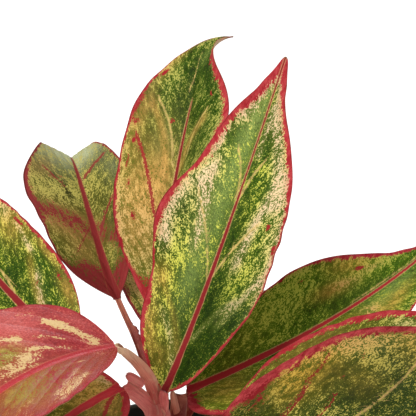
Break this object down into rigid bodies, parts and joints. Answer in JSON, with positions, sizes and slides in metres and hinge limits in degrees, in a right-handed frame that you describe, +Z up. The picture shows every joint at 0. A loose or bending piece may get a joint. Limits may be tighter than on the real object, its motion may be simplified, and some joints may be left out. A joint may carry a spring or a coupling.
{
  "type": "potted chinese evergreen",
  "caption": "Bushy foliage plant with long-stalked, pointed, wavy green leaves edged and veined in red, growing from soil in a round tapered dark nursery pot.",
  "frame": {"origin": "middle of the pot's flat underside, on the surface it stands on", "axes": "+Z up along the pot's middle line; -Y is the side of the plant seen in the picture, and +X is to the right in that view"},
  "size_m": [0.4041, 0.3636, 0.3361],
  "materials": {
    "pot": "black moulded plastic, satin",
    "soil": "dark crumbly potting soil",
    "cane": "green-brown stem with pale rings",
    "stalk": "smooth salmon-pink leaf stalk",
    "green_blade": "glossy green leaf with cream specks and red veins",
    "red_blade": "glossy red leaf with cream blotches"
  },
  "bodies": {
    "root": {"pot": "pot", "soil": "soil", "cane_main": "cane", "cane_right": "cane", "cane_front_right": "cane", "cane_left": "cane", "stalk_front_tall": "stalk", "blade_front_tall": "green_blade", "stalk_back_tall": "stalk", "blade_back_tall": "green_blade", "stalk_back_left": "stalk", "blade_back_left": "green_blade", "stalk_inner_back": "stalk", "blade_inner_back": "green_blade", "stalk_front_left": "stalk", "blade_front_left": "red_blade", "stalk_low_front_left": "stalk", "blade_low_front_left": "green_blade", "stalk_left": "stalk", "blade_left": "green_blade", "stalk_low_left": "stalk", "blade_low_left": "green_blade", "stalk_right_back": "stalk", "blade_right_back": "green_blade", "stalk_back": "stalk", "blade_back": "green_blade", "stalk_back_right": "stalk", "blade_back_right": "green_blade", "stalk_right": "stalk", "blade_right": "green_blade", "stalk_right_front": "stalk", "blade_right_front": "green_blade", "stalk_front": "stalk", "blade_front": "green_blade"}
  },
  "joints": []
}
